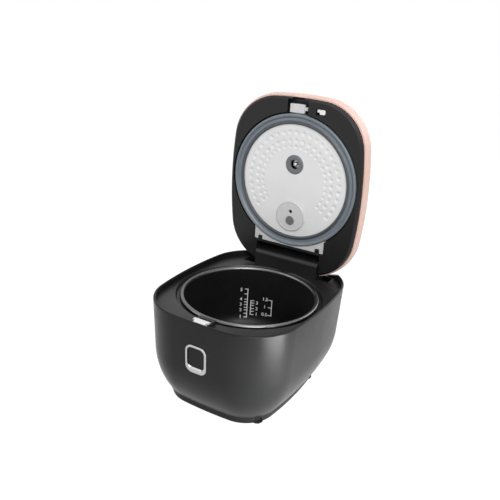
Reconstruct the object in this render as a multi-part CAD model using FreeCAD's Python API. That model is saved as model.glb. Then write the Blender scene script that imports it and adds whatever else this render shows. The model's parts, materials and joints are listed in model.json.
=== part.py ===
import FreeCAD, Part
import math
import os
from collections import namedtuple

V = FreeCAD.Vector
X_AXIS = V(1, 0, 0)
Y_AXIS = V(0, 1, 0)
Z_AXIS = V(0, 0, 1)

# Rice cooker with its lid open. Millimetres, x to the right, y to the back, z up, the table at z = 0.
# Everything on the lid is drawn closed, then turned about the hinge to the open rest position.

# Clearances
part_gap = 0.3
run_gap = 0.06
lid_gap = 1.0

# Body outline: four wide bows joined by four corner arcs
pot_axis_y = -14.0
body_set_back = 8.5
body_half_w = 121.1
body_half_d = 150.4
front_bow_r = 584.0
side_bow_r = 630.0
corner_r = 80.6

# Body shell
foot_drop = 3.0
skirt_h = 9.0
base_inset = 30.5
skirt_step = 1.0
bend_top_z = 81.0
bend_top_inset = 3.6
rim_z = 161.5
rim_wall = 4.2
shell_wall = 2.8
ledge_reach = 3.3
ledge_h = 4.0

# Deck round the pot, with the well that the open lid dips into
deck_z = 152.5
deck_thick = 2.5
deck_dish_drop = 4.5
dish_floor_w = 4.0
deck_collar_room = 2.4
deck_dish_room = 6.3
deck_collar_wall = 2.0
deck_collar_h = 10.0
well_half_w = 80.0
well_floor_z = 141.8
well_wall = 2.0
rear_rim_z = 149.0
rear_gap_half_w = 62.0
rear_gap_top_half_w = 90.0

# Pot
pot_rim_z = 153.9
pot_side_room = 14.1
pot_end_room = 43.4
pot_lip = 4.8
pot_wall = 2.2
pot_corner_r = 30.0
pot_bottom_z = 40.0

# Heat shield can round the pot
can_wall = 1.0
can_foot_room = 4.5
can_foot_z = 21.8
can_flange = 2.0
can_top_gap = 0.3

# Heater and bottom sensor
plate_in = 18.2
plate_thick = 8.7
plate_hole_r = 23.0
heater_ring_in = 24.0
heater_tube_r = 3.5
heater_pin_h = 12.0
plate_post_r = 4.0
plate_post_in = 9.0
sensor_r = 20.0
sensor_wall = 2.0
sensor_cap_h = 6.7
sensor_stem_r = 4.0
sensor_stem_h = 22.0
sensor_floor_z = 10.0
fuse_r = 2.2
fuse_length = 16.0
fuse_lead_r = 0.5
fuse_lead_l = 8.0

# Base tray, feet and screws
tray_thick = 3.0
tray_rim_wall = 2.4
tray_rim_h = 6.0
tray_post_r = 5.0
screw_r = 2.0
screw_head_r = 4.0
screw_head_h = 2.6
foot_r = 9.0
foot_plug_r = 4.0
foot_front_in = (49.1, 58.9)
foot_rear_in = (41.1, 94.9)
foot_notch_r = 7.0
foot_notch_h = 8.0

# Button on the front
button_z = 104.0
frame_w = 35.0
frame_h = 44.0
frame_corner = 11.0
frame_side = 3.2
frame_top = 3.0
frame_lip = 8.0
frame_proud = 1.3
frame_depth = 6.0
frame_collar = 1.4
button_recess = 0.8
button_travel = 2.5
button_flange = 1.7
stem_w = 10.0
stem_h = 8.0
stem_up = 10.0

# Latch behind the button
hook_w = 19.0
hook_thick = 3.2
hook_set_in = 15.9
hook_top_z = 160.8
hook_nose_h = 2.2
hook_nose_reach = 1.7
hook_nose_w = 3.2
hook_head_reach = 5.8
hook_head_lift = 1.0
hook_bottom_z = 108.0
guide_wall = 3.0
guide_room = 8.0
bracket_wall = 3.4
bracket_back = 7.0
bracket_top_z = 157.8
guide_split_z = 125.0
latch_wire_r = 0.5
latch_spring_r = 3.0
latch_spring_turns = 4

# Hinge
hinge_set_in = 23.8
hinge_z = 171.4
lid_angle = 89.0
hinge_half_w = 58.0
hinge_top_z = 179.0
hinge_to_front = 20.6
hinge_to_back = 11.2
hinge_front_round = 7.0
hinge_back_round = 7.0
hinge_wall = 3.5
hinge_roof = 2.0
pin_r = 3.0
cheek_w = 10.0
cheek_r = 10.0
hinge_wire_r = 0.8
hinge_spring_turns = 8
hinge_spring_pitch = 2.6

# Power inlet and board at the back
inlet_z = 98.0
inlet_w = 40.0
inlet_h = 30.0
inlet_flange = 1.5
inlet_depth = 18.0
inlet_wall = 4.0
socket_depth = 14.0
prong_r = 1.8
prong_pitch = 7.0
prong_clear = 5.0
board_w = 72.0
board_h = 64.0
board_thick = 1.6
board_set_in = 44.9
board_z = 28.0
relay = (20.0, 15.0, 16.0)
capacitor_r = 6.5
capacitor_l = 14.0

# Lid shell
lid_set_back = 4.5
cover_edge_z = 162.5
cover_wall = 2.5
cover_edge_inset = 2.4
cover_side_inset = 0.8
cover_side_top_z = 176.0
lid_top_z = 199.0
cover_flat_reach = 36.0
liner_z = 155.0
liner_thick = 2.5
liner_top_z = 166.5
notch_strip_h = 2.5
liner_bevel = 3.0
dish_room = 3.5
dish_wall = 2.0
dish_floor_z = 168.0
ear_half_w = 65.0
ear_recess_in = 56.5
pocket_ceiling_z = 187.4
pocket_end_in = 15.5
front_pocket_x = (-18.0, 18.0)
front_lip_z = 158.3
front_wall = 1.0
lid_screw_x = 70.0
lid_screw_y = 55.0

# Inner lid
plate_face_z = 159.0
plate_sheet = 1.2
plate_sheet_in = 10.4
dimple_depth = 1.1
dimple_wall = 0.8
dimple_rings = ((17.6, 31, 4.0), (30.6, 27, 3.7), (40.1, 27, 2.9))
dimple_span = 264.0
seal_reach = 1.2
seal_width = 16.4
seal_face_z = 154.4
seal_top_z = 161.0
carrier_reach = 0.5
carrier_width = 17.5
carrier_top_z = 165.5
ear_front_in = 33.5
ear_face_z = 156.8
ear_top_z = 164.0
tilt_in = 6.5
tilt_z = 160.0
tilt_pin_r = 2.0
tilt_pin_l = 6.0
lug_x = (50.0, 56.5)
lug_reach = 7.0
lug_face_z = 155.6
grommet_set_in = 68.6
grommet_r = 15.5
grommet_hole_r = 7.5
grommet_neck_r = 11.8
grommet_face_z = 157.3
probe_r = 3.2
probe_tip_z = 160.0
vent_set_in = 38.6
vent_r = 25.5
vent_face_z = 156.3
vent_neck_r = 18.0
vent_neck_wall = 2.0
vent_hole_r = 3.0
vent_hole_shift = -8.0
valve_r = 7.5
valve_shift = 7.5
valve_thick = 1.6

# Lock and sensor pin on the lid's front edge
clip_x = (-15.2, 9.8)
clip_set_in = 14.8
clip_reach = 1.7
clip_face_z = 158.5
clip_top_z = 164.0
clip_ear = 5.5
clip_ear_d = 5.0
clip_ear_set_in = 6.1
clip_tongue = 4.0
sense_x = 39.0
sense_set_in = 22.2
sense_slot_w = 16.0
sense_slot_d = 9.5
sense_pin_w = 9.5
sense_pin_d = 7.6
sense_nub_w = 4.0
sense_nub_d = 4.5
sense_face_z = 155.6
sense_top_z = 169.0
sense_roof_z = 163.0
sense_travel = 2.5
sense_pin_round = 2.5
sense_wire_r = 0.4
sense_spring_r = 2.6
sense_spring_h = 9.5
sense_spring_turns = 5

# Lid top
duct_r = 22.0
duct_wall = 2.0
cap_r = 27.0
cap_h = 4.2
cap_wall = 1.6
cap_slot_w = 3.0
cap_slots = 3
panel_half_w = 70.0
panel_set_in = 31.4
panel_d = 54.0
panel_corner = 12.0
panel_thick = 1.4
board_drop = 3.0
lid_board_margin = 8.0

# Values that follow from the sizes above
body_y = pot_axis_y + body_set_back
shell_bottom_z = foot_drop
skirt_top_z = shell_bottom_z + skirt_h
rim_start_z = rim_z - rim_wall / 2
wall_run = bend_top_inset / (rim_start_z - bend_top_z)
wall_lean = math.degrees(math.atan(wall_run))
ledge_z = deck_z - deck_thick
body_front_y = body_y - body_half_d
body_back_y = body_y + body_half_d
pot_rim_r = min(body_half_w - pot_side_room, body_half_d - pot_end_room)
pot_r = pot_rim_r - pot_lip
pot_in_r = pot_r - pot_wall
deck_dish_r = pot_rim_r + deck_dish_room
deck_collar_r = pot_r + deck_collar_room
plate_r = pot_r - plate_in
heater_ring_r = plate_r - heater_ring_in
plate_post_ring = plate_r - plate_post_in
can_foot_r = plate_r + can_foot_room
can_in_r = deck_collar_r + deck_collar_wall + part_gap
deck_foot_z = deck_z - deck_dish_drop
tray_post_ring = can_foot_r + can_wall + screw_r + 2 * part_gap
plate_top_z = pot_bottom_z - part_gap
plate_bottom_z = plate_top_z - plate_thick
tray_floor_z = shell_bottom_z + tray_thick
tray_inset = base_inset + shell_wall + part_gap
hook_back_y = body_front_y + hook_set_in
hook_front_y = hook_back_y - hook_thick
hook_half_w = hook_w / 2
pocket_half_w = hinge_half_w + lid_gap
hinge_y = body_back_y - hinge_set_in
hinge_front_y = hinge_y - hinge_to_front
hinge_back_y = hinge_y + hinge_to_back
well_front_y = hinge_front_y - part_gap
ear_back_y = hinge_front_y - lid_gap - dish_wall
pocket_end_y = body_back_y - pocket_end_in
foot_front = (body_half_w - foot_front_in[0], body_front_y + foot_front_in[1])
foot_rear = (body_half_w - foot_rear_in[0], body_back_y - foot_rear_in[1])
board_y = body_back_y - board_set_in
dish_r = pot_rim_r + dish_room
plate_sheet_r = pot_rim_r - plate_sheet_in
seal_r = pot_rim_r + seal_reach
seal_in_r = seal_r - seal_width
carrier_r = pot_rim_r + carrier_reach
carrier_in_r = carrier_r - carrier_width
ear_recess_y = pot_axis_y + dish_r - ear_recess_in
ear_front_y = pot_axis_y + carrier_r - ear_front_in
tilt_y = ear_back_y - tilt_in
grommet_y = pot_axis_y - plate_sheet_r + grommet_set_in
vent_y = pot_axis_y + plate_sheet_r - vent_set_in
lid_half_d = body_half_d - lid_set_back / 2
lid_y = body_y + lid_set_back / 2
lid_front_y = lid_y - lid_half_d
liner_inset = cover_edge_inset + cover_wall + part_gap
liner_front_y = lid_front_y + liner_inset
clip_front_y = lid_front_y + clip_set_in
clip_back_y = pot_axis_y - dish_r + clip_reach
clip_ear_y = clip_front_y + clip_ear_set_in
sense_y = lid_front_y + sense_set_in
panel_front_y = lid_front_y + panel_set_in
panel_back_y = panel_front_y + panel_d
carrier_step_r = plate_sheet_r + 0.7
cover_round = lid_top_z - cover_side_top_z

Outline = namedtuple("Outline", "half_w half_d bow_fb bow_lr corner y")
BODY = Outline(body_half_w, body_half_d, front_bow_r, side_bow_r, corner_r, body_y)
LID = Outline(body_half_w, lid_half_d, front_bow_r, side_bow_r, corner_r, lid_y)


# Drawing helpers

def arc_middle(start, tangent, end):
    """Middle point of the arc that leaves start along tangent and ends at end."""
    cu, cz = end[0] - start[0], end[1] - start[1]
    chord = math.hypot(cu, cz)
    nu, nz = -cz / chord, cu / chord
    lean = math.atan2(tangent[0] * nu + tangent[1] * nz, (tangent[0] * cu + tangent[1] * cz) / chord)
    rise = chord / 2 * math.tan(lean / 2)
    return ((start[0] + end[0]) / 2 + nu * rise, (start[1] + end[1]) / 2 + nz * rise)


def path_face(path, place):
    """Face of a closed path. A step is a point, or a pair of points for an arc: one on it and its end."""
    here = place(path[0])
    first = here
    edges = []
    for step in path[1:]:
        if isinstance(step[0], tuple):
            end = place(step[1])
            edges.append(Part.Arc(here, place(step[0]), end).toShape())
        else:
            end = place(step)
            edges.append(Part.LineSegment(here, end).toShape())
        here = end
    if here.distanceToPoint(first) > 1e-6:
        edges.append(Part.LineSegment(here, first).toShape())
    return Part.Face(Part.Wire(edges))


def turned(path, x=0.0, y=pot_axis_y):
    """Solid turned about the vertical line at x, y from a path of (radius, height)."""
    face = path_face(path, lambda p: V(x + p[0], y, p[1]))
    return face.revolve(V(x, y, 0), Z_AXIS, 360)


def tube(outer_r, inner_r, low, high, x=0.0, y=pot_axis_y):
    """Upright tube, or a rod where inner_r is 0."""
    solid = Part.makeCylinder(outer_r, high - low, V(x, y, low))
    if inner_r:
        solid = solid.cut(Part.makeCylinder(inner_r, high - low, V(x, y, low)))
    return solid


def box(x, y, z):
    """Box between the low and high value on each axis."""
    return Part.makeBox(x[1] - x[0], y[1] - y[0], z[1] - z[0], V(x[0], y[0], z[0]))


def rounded(x, y, z, radius, axis=Z_AXIS):
    """Box whose edges along one axis are rounded."""
    solid = box(x, y, z)
    edges = [e for e in solid.Edges if abs(e.tangentAt(e.FirstParameter).dot(axis)) > 0.99]
    return solid.makeFillet(radius, edges)


def grown(span, by):
    """Low and high value moved apart by the same step."""
    return (span[0] - by, span[1] + by)


def mirrored(shape):
    """The same piece on the other side of the middle plane."""
    return shape.mirror(V(0, 0, 0), X_AXIS)


def outline_arcs(o):
    """Arcs of an outline, counter-clockwise: centre x, centre y, radius, start angle, sweep."""
    fb_y = o.half_d - o.bow_fb
    lr_x = o.half_w - o.bow_lr
    span = math.hypot(lr_x, fb_y)
    reach_fb, reach_lr = o.bow_fb - o.corner, o.bow_lr - o.corner
    along = (span ** 2 + reach_fb ** 2 - reach_lr ** 2) / (2 * span)
    aside = math.sqrt(reach_fb ** 2 - along ** 2)
    ux, uy = lr_x / span, -fb_y / span
    cx = ux * along + uy * aside
    cy = fb_y + uy * along - ux * aside
    if cx < 0 or cy < 0:
        cx = ux * along - uy * aside
        cy = fb_y + uy * along + ux * aside
    side = math.degrees(math.atan2(cy, cx - lr_x))
    end = math.degrees(math.atan2(cx, cy - fb_y))
    turn = 90 - side - end
    return [
        (lr_x, o.y, o.bow_lr, -side, 2 * side),
        (cx, o.y + cy, o.corner, side, turn),
        (0, o.y + fb_y, o.bow_fb, 90 - end, 2 * end),
        (-cx, o.y + cy, o.corner, 90 + end, turn),
        (-lr_x, o.y, o.bow_lr, 180 - side, 2 * side),
        (-cx, o.y - cy, o.corner, 180 + side, turn),
        (0, o.y - fb_y, o.bow_fb, 270 - end, 2 * end),
        (cx, o.y - cy, o.corner, 270 + end, turn),
    ]


def slab(o, inset, low, high):
    """Flat plate with the outline drawn in by inset."""
    edges = []
    for cx, cy, radius, start, sweep in outline_arcs(o):
        edges.append(Part.makeCircle(radius - inset, V(cx, cy, low), Z_AXIS, start, start + sweep))
    return Part.Face(Part.Wire(edges)).extrude(V(0, 0, high - low))


def wall_round(o, path):
    """Solid that carries a path of (inset, height) all round an outline."""
    sectors = []
    for cx, cy, radius, start, sweep in outline_arcs(o):
        ca, sa = math.cos(math.radians(start)), math.sin(math.radians(start))

        def place(p):
            return V(cx + (radius - p[0]) * ca, cy + (radius - p[0]) * sa, p[1])

        sectors.append(path_face(path, place).revolve(V(cx, cy, 0), Z_AXIS, sweep))
    return sectors[0].multiFuse(sectors[1:]).removeSplitter()


def coil(radius, wire_r, turns, pitch):
    """Spring on the z axis from z = 0: half circles tilted to and fro, which join smoothly."""
    edges = []
    for half in range(2 * turns):
        side = 1 if half % 2 == 0 else -1
        low, high = half * pitch / 2, (half + 1) * pitch / 2
        reach = math.hypot(radius, pitch / 4)
        edges.append(Part.Arc(
            V(side * radius, 0, low),
            V(0, side * reach, (low + high) / 2),
            V(-side * radius, 0, high),
        ).toShape())
    ring = Part.Wire(Part.makeCircle(wire_r, V(radius, 0, 0), Y_AXIS))
    return Part.Wire(edges).makePipeShell([ring], True, False)


def wall_inset(z):
    """Inset of the straight upper wall at a height."""
    return (rim_start_z - z) * wall_run


def on_wall(shape, z, back=False):
    """Place a piece drawn with y inwards from the wall and z up along it on the front or back wall."""
    placed = shape.copy()
    placed.rotate(V(0, 0, 0), X_AXIS, wall_lean)
    placed.translate(V(0, wall_inset(z) - body_half_d, z))
    if back:
        placed.rotate(V(0, 0, 0), Z_AXIS, 180)
    placed.translate(V(0, body_y, 0))
    return placed


def open_lid(shape):
    """Turn a piece from the closed lid to the open one."""
    turned_up = shape.copy()
    turned_up.rotate(V(0, hinge_y, hinge_z), X_AXIS, -lid_angle)
    return turned_up


# Body

def shell_path():
    """Section of the shell's wall, from the skirt's foot up the outside and down the inside."""
    lean = (wall_run, -1.0)
    outer_low = (base_inset - skirt_step, skirt_top_z)
    outer_top = (bend_top_inset, bend_top_z)
    inner_low = (base_inset + shell_wall, skirt_top_z)
    inner_top = (bend_top_inset + shell_wall, bend_top_z)
    rim_round = rim_wall / 2
    ledge_inset = rim_wall + ledge_reach
    under_z = ledge_z - ledge_h
    chamfer_z = under_z - ledge_reach
    return [
        (base_inset, shell_bottom_z),
        (base_inset, skirt_top_z - skirt_step),
        outer_low,
        (arc_middle(outer_top, lean, outer_low), outer_top),
        (0.0, rim_start_z),
        ((rim_round, rim_z), (rim_wall, rim_start_z)),
        (rim_wall, ledge_z),
        (ledge_inset, ledge_z),
        (ledge_inset, under_z),
        (wall_inset(chamfer_z) + shell_wall, chamfer_z),
        inner_top,
        (arc_middle(inner_top, lean, inner_low), inner_low),
        (base_inset + shell_wall, shell_bottom_z),
    ]


def feet_places():
    """Centres of the four feet."""
    return [(side * x, y) for x, y in (foot_front, foot_rear) for side in (1, -1)]


def wall_hole(width, height, corner, z, back=False):
    """Rounded cutter through the front or back wall."""
    reach = 4 * shell_wall
    cutter = rounded((-width / 2, width / 2), (-reach, reach), (-height / 2, height / 2), corner, Y_AXIS)
    return on_wall(cutter, z, back)


def outer_shell():
    shell = wall_round(BODY, shell_path())
    cuts = [
        rear_gap(),
        wall_hole(frame_w - 2 * frame_collar + 2 * part_gap, frame_h - 2 * frame_collar + 2 * part_gap,
                  frame_corner - frame_collar + part_gap, button_z),
        wall_hole(inlet_w - 2 * inlet_wall / 2 + 2 * part_gap, inlet_h - 2 * inlet_wall / 2 + 2 * part_gap,
                  inlet_wall + part_gap, inlet_z, back=True),
    ]
    for x, y in feet_places():
        cuts.append(notch_at_foot(x, y))
    return shell.cut(cuts)


def rear_gap():
    """Gap in the rim that the lid's rear edge swings through, wider at its top."""
    path = [
        (-rear_gap_half_w, rear_rim_z),
        (rear_gap_half_w, rear_rim_z),
        (rear_gap_top_half_w, rim_z),
        (rear_gap_top_half_w, rim_z + 1),
        (-rear_gap_top_half_w, rim_z + 1),
        (-rear_gap_top_half_w, rim_z),
    ]
    face = path_face(path, lambda p: V(p[0], well_front_y, p[1]))
    return face.extrude(V(0, body_back_y + 1 - well_front_y, 0))


def notch_at_foot(x, y):
    """Arched gap in the skirt outside a foot, pointing away from the middle of the base."""
    away = math.degrees(math.atan2(y - body_y, x))
    reach = 3 * foot_r
    spring_z = shell_bottom_z + foot_notch_h - foot_notch_r
    arch = Part.makeCylinder(foot_notch_r, reach, V(0, 0, spring_z), X_AXIS)
    legs = box((0, reach), (-foot_notch_r, foot_notch_r), (0, spring_z))
    cutter = arch.fuse(legs)
    cutter.rotate(V(0, 0, 0), Z_AXIS, away)
    cutter.translate(V(x, y, 0))
    return cutter


def corner_posts():
    """Centres of the four posts that carry the can."""
    places = []
    for quarter in range(4):
        angle = math.radians(45 + 90 * quarter)
        places.append((tray_post_ring * math.cos(angle), pot_axis_y + tray_post_ring * math.sin(angle)))
    return places


def base_tray():
    tray = slab(BODY, tray_inset, shell_bottom_z, tray_floor_z)
    rim = wall_round(BODY, [
        (tray_inset, tray_floor_z),
        (tray_inset + tray_rim_wall, tray_floor_z),
        (tray_inset + tray_rim_wall, tray_floor_z + tray_rim_h),
        (tray_inset, tray_floor_z + tray_rim_h),
    ])
    adds = [rim]
    cuts = []
    for x, y in corner_posts():
        adds.append(tube(tray_post_r, 0, tray_floor_z, can_foot_z, x, y))
        cuts.append(tube(screw_r + part_gap, 0, shell_bottom_z, can_foot_z, x, y))
        cuts.append(tube(screw_head_r + part_gap, 0, shell_bottom_z, shell_bottom_z + screw_head_h, x, y))
    for x, y in feet_places():
        cuts.append(tube(foot_plug_r, 0, shell_bottom_z, tray_floor_z, x, y))
    slot = (board_y - part_gap, board_y + board_thick + part_gap)
    for side in (1, -1):
        middle = side * board_w / 3
        adds.append(box((middle - 4, middle + 4), (board_y - 4, slot[1] + 3), (tray_floor_z, board_z + 4)))
        cuts.append(box((middle - 5, middle + 5), slot, (board_z, board_z + 5)))
    for x in (-0.5, -0.25, 0.0, 0.25, 0.5):
        cuts.append(rounded((x * plate_r - 2, x * plate_r + 2), (pot_axis_y - 15, pot_axis_y + 15),
                            (shell_bottom_z, tray_floor_z), 1.9))
    return tray.fuse(adds).cut(cuts).removeSplitter()


def rubber_feet():
    feet = []
    for x, y in feet_places():
        pad = turned([(0, 0), (foot_r - 1, 0), (foot_r, 1), (foot_r, foot_drop), (foot_plug_r, foot_drop),
                      (foot_plug_r, tray_floor_z), (0, tray_floor_z)], x, y)
        feet.append(pad)
    return Part.makeCompound(feet)


def base_screws():
    screws = []
    for x, y in corner_posts():
        head_z = shell_bottom_z + part_gap
        screw = turned([(0, head_z), (screw_head_r, head_z), (screw_head_r, shell_bottom_z + screw_head_h),
                        (screw_r, shell_bottom_z + screw_head_h), (screw_r, can_foot_z + 2 * can_wall),
                        (0, can_foot_z + 2 * can_wall)], x, y)
        recess = box((x - 2.4, x + 2.4), (y - 0.5, y + 0.5), (head_z, head_z + 1.2))
        cross = box((x - 0.5, x + 0.5), (y - 2.4, y + 2.4), (head_z, head_z + 1.2))
        screws.append(screw.cut([recess, cross]))
    return Part.makeCompound(screws)


def latch_bracket():
    """Plan of the latch housing's raised surround."""
    half = hook_half_w + part_gap + bracket_wall
    return (-half, half), (hook_front_y + part_gap, hook_back_y + guide_room + bracket_back)


def deck_ring():
    plate = slab(BODY, rim_wall + part_gap, ledge_z, deck_z).cut(tube(deck_dish_r, 0, ledge_z, deck_z))
    dish = turned([
        (deck_dish_r, deck_z),
        (pot_rim_r + dish_floor_w, deck_foot_z),
        (deck_collar_r + 1, deck_foot_z),
        (deck_collar_r, deck_foot_z - 1),
        (deck_collar_r, deck_foot_z - deck_collar_h),
        (deck_collar_r + deck_collar_wall, deck_foot_z - deck_collar_h),
        (deck_collar_r + deck_collar_wall, deck_foot_z - deck_thick),
        (pot_rim_r + dish_floor_w + deck_collar_wall, deck_foot_z - deck_thick),
        (deck_dish_r, ledge_z),
    ])
    room_y = (well_front_y, body_back_y)
    front_y = well_front_y - well_wall
    outer = box((-well_half_w - well_wall, well_half_w + well_wall), (front_y, body_back_y),
                (well_floor_z - well_wall, deck_z))
    outer = outer.common(slab(BODY, rim_wall + ledge_reach + part_gap, well_floor_z - well_wall, deck_z))
    room = box((-well_half_w, well_half_w), room_y, (well_floor_z, deck_z + 1))
    latch_x, latch_y = latch_bracket()
    latch_y = (hook_front_y - 2 * part_gap, latch_y[1] + part_gap)
    ring = plate.fuse([dish, outer]).cut([
        room,
        box(grown(latch_x, part_gap), latch_y, (deck_foot_z - deck_collar_h, deck_z + 1)),
    ])
    return ring.removeSplitter()


def inner_pot():
    crown_drop = 3.4
    crown = ((pot_in_r + pot_rim_r) / 2, pot_rim_z)
    outside_edge = (pot_rim_r, pot_rim_z - crown_drop)
    down = (0.0, -1.0)
    outside_top = (pot_r, pot_bottom_z + pot_corner_r)
    outside_low = (pot_r - pot_corner_r, pot_bottom_z)
    inside_top = (pot_in_r, pot_bottom_z + pot_corner_r)
    inside_low = (pot_r - pot_corner_r, pot_bottom_z + pot_wall)
    inside_edge = (pot_in_r, pot_rim_z - crown_drop)
    return turned([
        (0, pot_bottom_z),
        outside_low,
        (arc_middle(outside_top, down, outside_low), outside_top),
        (pot_r, pot_rim_z - crown_drop - 1),
        (pot_rim_r - 1.2, pot_rim_z - crown_drop - 1),
        outside_edge,
        (arc_middle(outside_edge, (0.0, 1.0), crown), crown),
        (arc_middle(crown, (-1.0, 0.0), inside_edge), inside_edge),
        inside_top,
        (arc_middle(inside_top, down, inside_low), inside_low),
        (0, pot_bottom_z + pot_wall),
    ])


def inner_liner():
    """Sheet can round the pot, hung under the deck and standing on the tray's posts."""
    top_z = deck_foot_z - deck_thick - can_top_gap
    bend_z = pot_bottom_z + pot_corner_r
    down = (0.0, -1.0)
    out_top, out_low = (can_in_r + can_wall, bend_z), (can_foot_r + can_wall, pot_bottom_z)
    in_top, in_low = (can_in_r, bend_z), (can_foot_r, pot_bottom_z)
    can = turned([
        (can_in_r, top_z),
        (can_in_r + can_wall, top_z),
        out_top,
        (arc_middle(out_top, down, out_low), out_low),
        (can_foot_r + can_wall, can_foot_z + can_wall),
        (can_foot_r + can_flange, can_foot_z + can_wall),
        (can_foot_r + can_flange, can_foot_z),
        (can_foot_r, can_foot_z),
        in_low,
        (arc_middle(in_top, down, in_low), in_top),
    ])
    pads = [tube(tray_post_r, 0, can_foot_z, can_foot_z + can_wall, x, y) for x, y in corner_posts()]
    holes = [tube(screw_r + run_gap, 0, can_foot_z, can_foot_z + can_wall, x, y) for x, y in corner_posts()]
    return can.fuse(pads).cut(holes).removeSplitter()


def heating_plate():
    plate = turned([
        (plate_hole_r, plate_bottom_z),
        (plate_r - 2, plate_bottom_z),
        (plate_r, plate_bottom_z + 2),
        (plate_r, plate_top_z - 2),
        (plate_r - 8, plate_top_z),
        (plate_hole_r + 1, plate_top_z),
        (plate_hole_r, plate_top_z - 1),
    ])
    groove = Part.makeTorus(heater_ring_r, heater_tube_r + run_gap, V(0, pot_axis_y, plate_bottom_z))
    return plate.cut(groove)


def heater_element():
    """Ring in the plate's groove, open at the front, with two straight ends that point down."""
    gap_deg = 24.0
    centre = V(0, pot_axis_y, plate_bottom_z)
    ring = Part.makeTorus(heater_ring_r, heater_tube_r, centre, Z_AXIS, 0, 360, 360 - gap_deg)
    ring.rotate(V(0, pot_axis_y, 0), Z_AXIS, -90 + gap_deg / 2)
    ends = []
    for side in (1, -1):
        angle = math.radians(-90 + side * gap_deg / 2)
        x = heater_ring_r * math.cos(angle)
        y = pot_axis_y + heater_ring_r * math.sin(angle)
        ends.append(tube(heater_tube_r, 0, plate_bottom_z - heater_pin_h, plate_bottom_z, x, y))
        ends.append(Part.makeSphere(heater_tube_r, V(x, y, plate_bottom_z)))
    return ring.fuse(ends)


def plate_posts():
    posts = []
    for third in range(3):
        angle = math.radians(90 + 120 * third)
        x = plate_post_ring * math.cos(angle)
        y = pot_axis_y + plate_post_ring * math.sin(angle)
        posts.append(tube(plate_post_r, 0, tray_floor_z, plate_bottom_z, x, y))
    return Part.makeCompound(posts)


def sensor_housing():
    in_r = sensor_r + part_gap
    out_r = in_r + sensor_wall
    return turned([
        (sensor_stem_r + part_gap, sensor_floor_z),
        (out_r, sensor_floor_z),
        (out_r, plate_bottom_z - sensor_wall),
        (plate_hole_r + 5, plate_bottom_z - sensor_wall),
        (plate_hole_r + 5, plate_bottom_z),
        (in_r, plate_bottom_z),
        (in_r, sensor_floor_z + sensor_wall),
        (sensor_stem_r + part_gap, sensor_floor_z + sensor_wall),
    ])


def sensor_cap():
    low = plate_top_z - sensor_cap_h
    return turned([
        (0, low - sensor_stem_h),
        (sensor_stem_r, low - sensor_stem_h),
        (sensor_stem_r, plate_top_z - 2),
        (sensor_r - 2, plate_top_z - 2),
        (sensor_r - 2, low),
        (sensor_r, low),
        (sensor_r, plate_top_z - 1),
        (sensor_r - 1, plate_top_z),
        (0, plate_top_z),
    ])


def sensor_spring():
    wire_r = 0.6
    low = sensor_floor_z + sensor_wall + wire_r + 0.1
    high = plate_top_z - 2 - wire_r - 0.1
    turns = 6
    spring = coil(sensor_stem_r + wire_r + 0.5, wire_r, turns, (high - low) / turns)
    spring.translate(V(0, pot_axis_y, low))
    return spring


def thermal_fuse():
    """Fuse under the plate, midway between the sensor's hole and the heater's ring."""
    lead_reach = fuse_length / 2 + fuse_lead_l
    fuse = Part.makeCylinder(fuse_r, fuse_length, V(0, -fuse_length / 2, 0), Y_AXIS)
    leads = Part.makeCylinder(fuse_lead_r, 2 * lead_reach, V(0, -lead_reach, 0), Y_AXIS)
    both = fuse.fuse(leads)
    both.translate(V((plate_hole_r + heater_ring_r) / 2, pot_axis_y, plate_bottom_z - fuse_r - part_gap))
    return both


# Button and latch

def button_opening():
    """Low and high edges of the frame's opening, across and up the wall."""
    half = frame_w / 2 - frame_side
    return (-half, half), (-frame_h / 2 + frame_lip, frame_h / 2 - frame_top)


def button_frame():
    half_w, half_h = frame_w / 2, frame_h / 2
    bezel = rounded((-half_w, half_w), (-frame_proud, 0), (-half_h, half_h), frame_corner, Y_AXIS)
    front = [e for e in bezel.Edges if e.BoundBox.YMax < -frame_proud + 0.01]
    bezel = bezel.makeFillet(frame_proud * 0.6, front)
    in_w, in_h = half_w - frame_collar, half_h - frame_collar
    collar = rounded((-in_w, in_w), (0, frame_depth), (-in_h, in_h), frame_corner - frame_collar, Y_AXIS)
    across, up = button_opening()
    hole = rounded(across, (-2 * frame_proud, 2 * frame_depth), up, frame_corner - frame_side, Y_AXIS)
    dip = rounded(across, (-frame_depth, 2 * frame_depth), (up[0], up[1]), frame_corner - frame_side, Y_AXIS)
    dip.rotate(V(0, button_recess, up[0]), X_AXIS, 40)
    keep = box(across, (-frame_depth, button_recess + 0.1), (-half_h + frame_top, up[0] + frame_corner))
    return on_wall(bezel.fuse(collar).cut([hole, dip.common(keep)]), button_z)


def release_button():
    across, up = button_opening()
    across = (across[0] + part_gap, across[1] - part_gap)
    up = (up[0] + part_gap, up[1] - part_gap)
    round_r = frame_corner - frame_side - part_gap
    face = rounded(across, (button_recess, frame_depth + part_gap), up, round_r, Y_AXIS)
    front = [e for e in face.Edges if e.BoundBox.YMax < button_recess + 0.01]
    face = face.makeFillet(0.6, front)
    grow = 1.5
    back_y = frame_depth + part_gap
    flange = rounded((across[0] - grow, across[1] + grow), (back_y, back_y + button_flange),
                     (up[0] - grow, up[1] + grow), round_r, Y_AXIS)
    stem_y = hook_front_y - part_gap - body_front_y - wall_inset(button_z)
    stem_y = (stem_y + stem_up * math.sin(math.radians(wall_lean))) / math.cos(math.radians(wall_lean))
    stem = box((-stem_w / 2, stem_w / 2), (back_y, stem_y), (stem_up - stem_h / 2, stem_up + stem_h / 2))
    return on_wall(face.fuse([flange, stem]), button_z)


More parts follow.
